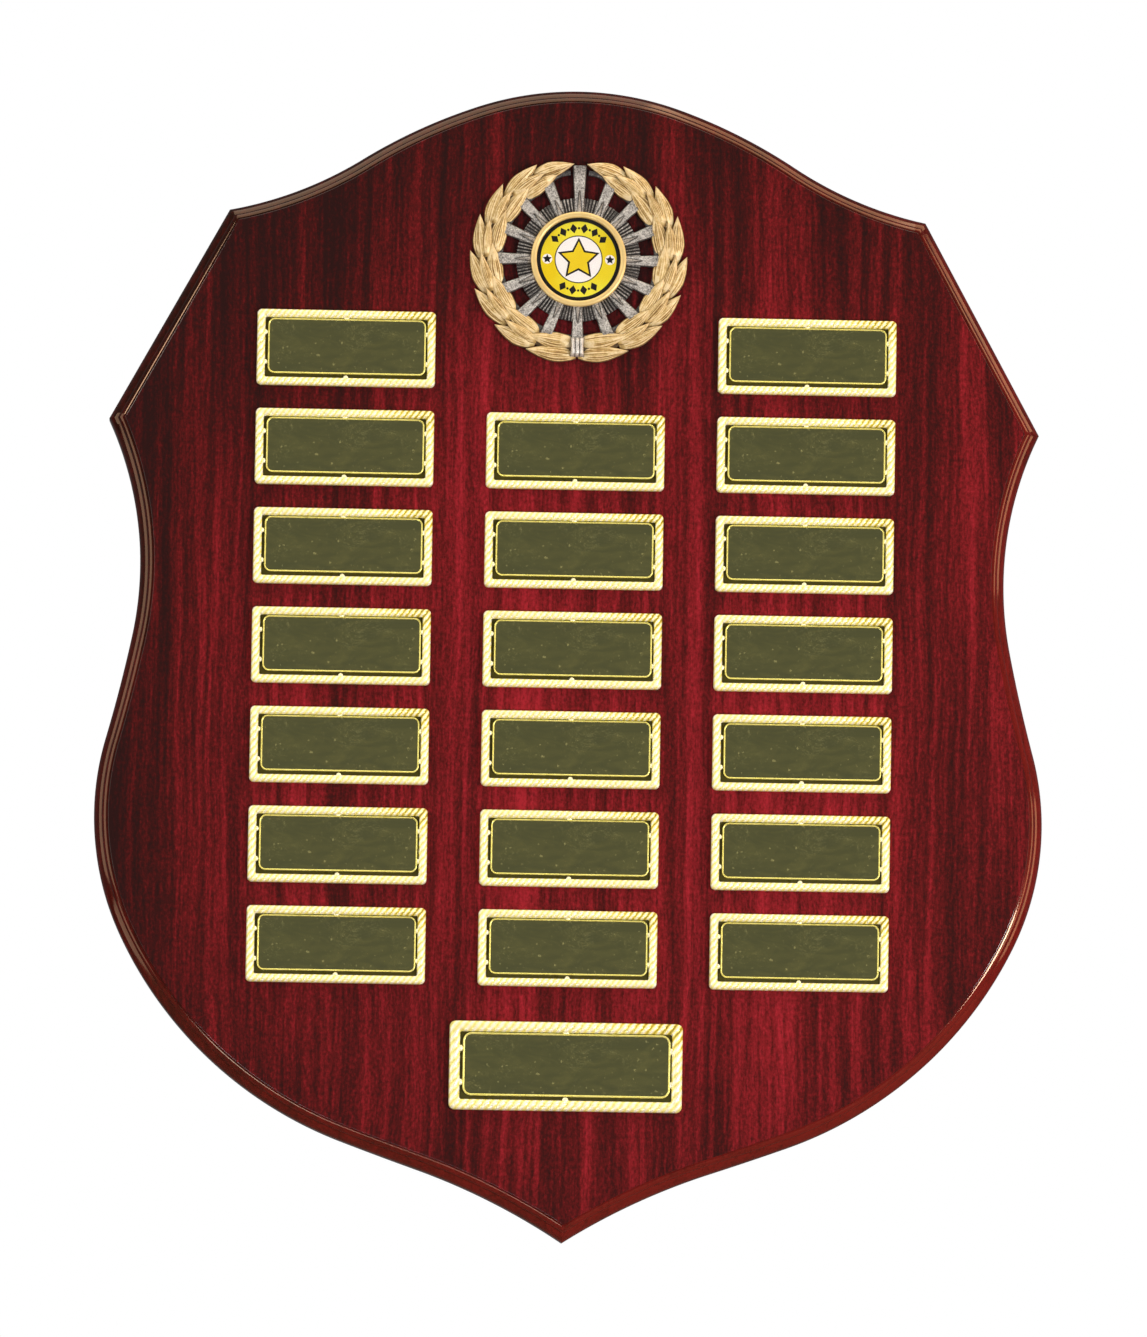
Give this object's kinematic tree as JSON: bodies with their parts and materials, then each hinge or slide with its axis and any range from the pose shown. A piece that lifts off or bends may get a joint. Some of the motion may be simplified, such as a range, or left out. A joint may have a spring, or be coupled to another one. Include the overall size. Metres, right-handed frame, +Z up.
{
  "type": "wooden plaque",
  "caption": "Shield-shaped wall plaque with a moulded edge, a round wreath medallion, small framed name plates in columns and a larger title plate at the bottom.",
  "frame": {"origin": "seat of the keyhole hanger, where the wall screw's shank bears, in the plane of the wall", "axes": "+Z up the wall towards the shield's crown, +Y into the wall, the front faces -Y, +X to the right of someone facing the plaque"},
  "size_m": [0.2836, 0.021, 0.3462],
  "materials": {
    "core": "stained and lacquered",
    "veneer": "gloss lacquered",
    "back_veneer": "matt sealed",
    "steel": "zinc plated",
    "screw": "zinc plated",
    "casting": "antiqued gold and silver metallised resin",
    "tape": "foam tape",
    "film": "clear adhesive film",
    "insert": "printed film",
    "dome": "clear cast resin",
    "frame": "gold metallised",
    "plate": "polished and lacquered"
  },
  "bodies": {
    "root": {"board_core": "core", "front_veneer": "veneer", "back_veneer": "back_veneer", "keyhole_hanger": "steel", "hanger_screws": "screw", "medal_casting": "casting", "medal_tape": "tape", "insert_tape": "film", "insert_disc": "insert", "insert_dome": "dome", "frame_tapes": "tape", "plate_films": "film", "title_frame": "frame", "title_plate": "plate", "year_frame_01": "frame", "year_frame_02": "frame", "year_frame_03": "frame", "year_frame_04": "frame", "year_frame_05": "frame", "year_frame_06": "frame", "year_frame_07": "frame", "year_frame_08": "frame", "year_frame_09": "frame", "year_frame_10": "frame", "year_frame_11": "frame", "year_frame_12": "frame", "year_frame_13": "frame", "year_frame_14": "frame", "year_frame_15": "frame", "year_frame_16": "frame", "year_frame_17": "frame", "year_frame_18": "frame", "year_frame_19": "frame", "year_frame_20": "frame", "year_plate_01": "plate", "year_plate_02": "plate", "year_plate_03": "plate", "year_plate_04": "plate", "year_plate_05": "plate", "year_plate_06": "plate", "year_plate_07": "plate", "year_plate_08": "plate", "year_plate_09": "plate", "year_plate_10": "plate", "year_plate_11": "plate", "year_plate_12": "plate", "year_plate_13": "plate", "year_plate_14": "plate", "year_plate_15": "plate", "year_plate_16": "plate", "year_plate_17": "plate", "year_plate_18": "plate", "year_plate_19": "plate", "year_plate_20": "plate"}
  },
  "joints": []
}
